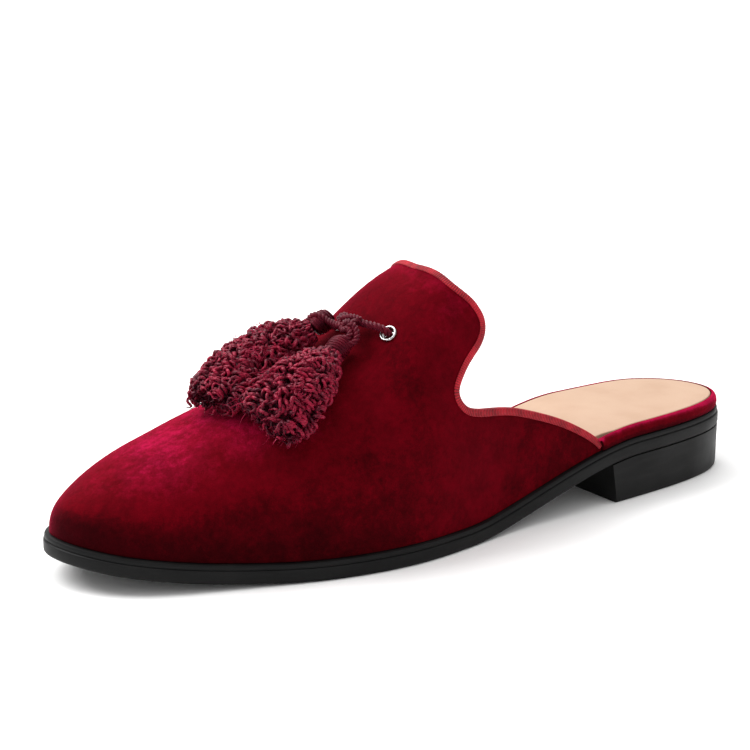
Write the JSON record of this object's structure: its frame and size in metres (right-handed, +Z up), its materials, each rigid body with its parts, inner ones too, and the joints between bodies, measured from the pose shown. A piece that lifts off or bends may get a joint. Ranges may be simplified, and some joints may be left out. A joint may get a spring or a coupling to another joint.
{
  "type": "velvet slipper",
  "caption": "Backless slipper for the left foot: velvet vamp with raised tongue, ribbed binding, tasselled cord through eyelets, leather footbed, dark sole and low heel.",
  "frame": {"origin": "centre of the bounding box in plan, on the floor under the sole", "axes": "+X to the toe, +Y to the outer side of the left foot, +Z up"},
  "size_m": [0.298, 0.0996, 0.1001],
  "materials": {
    "velvet": "deep red pile with a sheen",
    "tape": "ribbed red tape",
    "cord": "dark red twisted thread",
    "sole": "matt black",
    "footbed": "smooth tan",
    "silver": "bright silver"
  },
  "bodies": {
    "root": {"outsole": "sole", "heel": "sole", "insole": "footbed", "heel_rand": "velvet", "upper": "velvet", "topline_binding": "tape", "eyelet_left": "silver", "eyelet_right": "silver", "lace_left": "cord", "lace_right": "cord", "lace_knot": "cord", "tassel_head_outer": "cord", "tassel_head_inner": "cord", "tassel_skirt_outer": "cord", "tassel_skirt_inner": "cord"}
  },
  "joints": []
}
